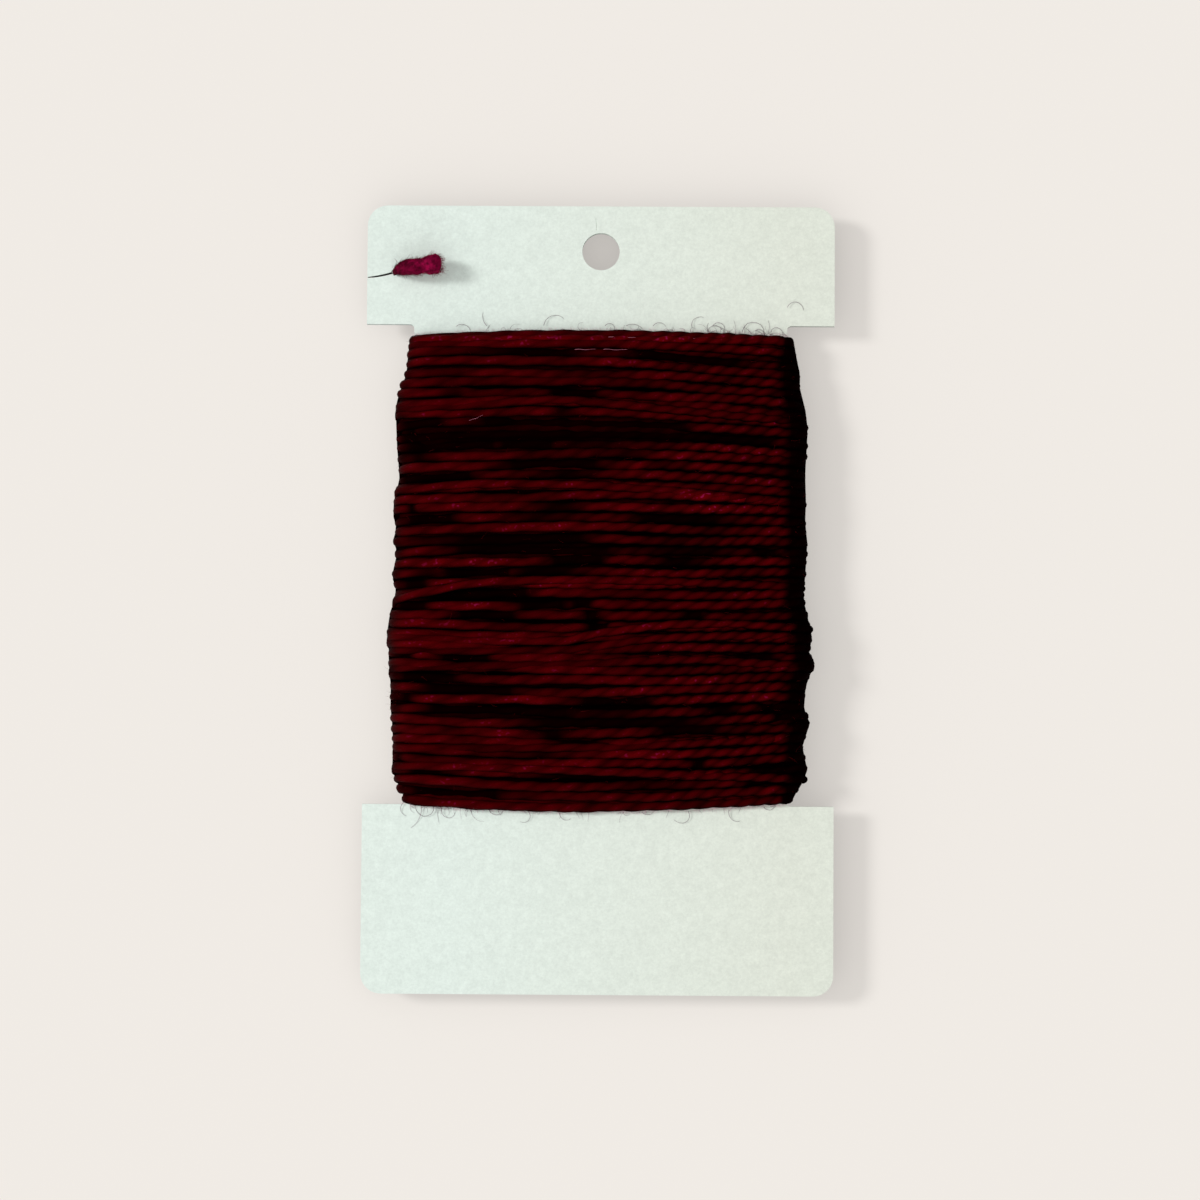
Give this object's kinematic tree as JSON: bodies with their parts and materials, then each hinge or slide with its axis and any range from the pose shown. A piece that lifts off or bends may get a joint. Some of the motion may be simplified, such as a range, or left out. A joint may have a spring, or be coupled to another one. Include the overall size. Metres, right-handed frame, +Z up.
{
  "type": "needlepoint thread wound on a card",
  "caption": "Twisted needlepoint thread wound round the notched waist of a stiff paper card with a hang hole, its cut end held in a slit.",
  "frame": {"origin": "under the middle of the card, on the surface that the winding rests on", "axes": "+Y along the card towards the end with the hang hole, +X to the card's right seen from the front, +Z up out of its front"},
  "size_m": [0.0624, 0.105, 0.0076],
  "materials": {
    "card": "uncoated matt white board with a faint green cast",
    "thread": "soft two-ply twisted thread, dark burgundy with magenta fibre lights"
  },
  "bodies": {
    "root": {"card": "card", "winding": "thread", "loose_end": "thread"}
  },
  "joints": []
}
